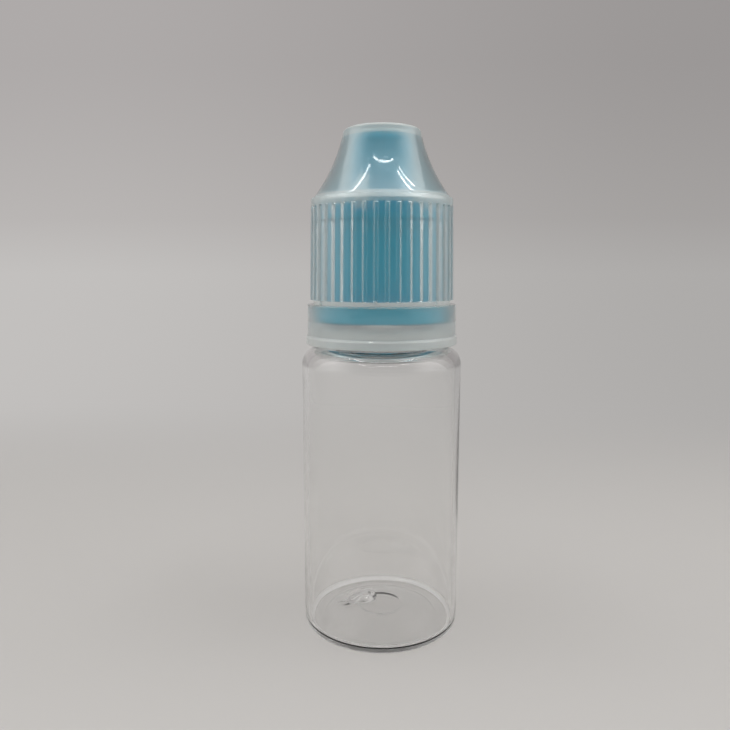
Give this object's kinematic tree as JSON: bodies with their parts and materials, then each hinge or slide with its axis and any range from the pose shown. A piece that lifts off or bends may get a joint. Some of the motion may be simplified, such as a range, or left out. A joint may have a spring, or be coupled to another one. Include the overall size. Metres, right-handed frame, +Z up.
{
  "type": "dropper bottle",
  "caption": "Clear squeeze dropper bottle with a drip insert, a ribbed translucent push-and-turn cap over a blue threaded inner cap, and a tamper ring.",
  "frame": {"origin": "centre of the bottle's base, on the surface that it stands on", "axes": "+Z up along the bottle's axis, towards the cap; -Y is the front that the picture shows"},
  "size_m": [0.022, 0.022, 0.0686],
  "materials": {
    "clear_pet": "clear, glossy blow-moulded polyester",
    "natural_insert": "soft natural polyethylene",
    "blue_cap": "satin coloured polypropylene",
    "natural_shell": "translucent natural polypropylene",
    "natural_ring": "translucent natural polypropylene"
  },
  "bodies": {
    "bottle": {"bottle": "clear_pet", "dropper_insert": "natural_insert"},
    "tamper_ring": {"tamper_ring": "natural_ring"},
    "inner_cap": {"inner_cap": "blue_cap"},
    "outer_cap": {"outer_cap": "natural_shell"}
  },
  "joints": [
    {"name": "unscrew", "type": "hinge", "parent": "bottle", "child": "tamper_ring", "pos_m": [0, 0, 0], "axis": [0, 0, 1], "range_deg": [0, 540]},
    {"name": "cap_lift", "type": "slide", "parent": "tamper_ring", "child": "inner_cap", "axis": [0, 0, 1], "range_m": [0, 0.00391]},
    {"name": "press_down", "type": "slide", "parent": "inner_cap", "child": "outer_cap", "axis": [0, 0, 1], "range_m": [-0.00045, 0], "stiffness_N_per_m": 300}
  ],
  "couplings": [
    {"joint": "cap_lift", "follows": "unscrew", "m_per_rad": 0.0004138}
  ]
}
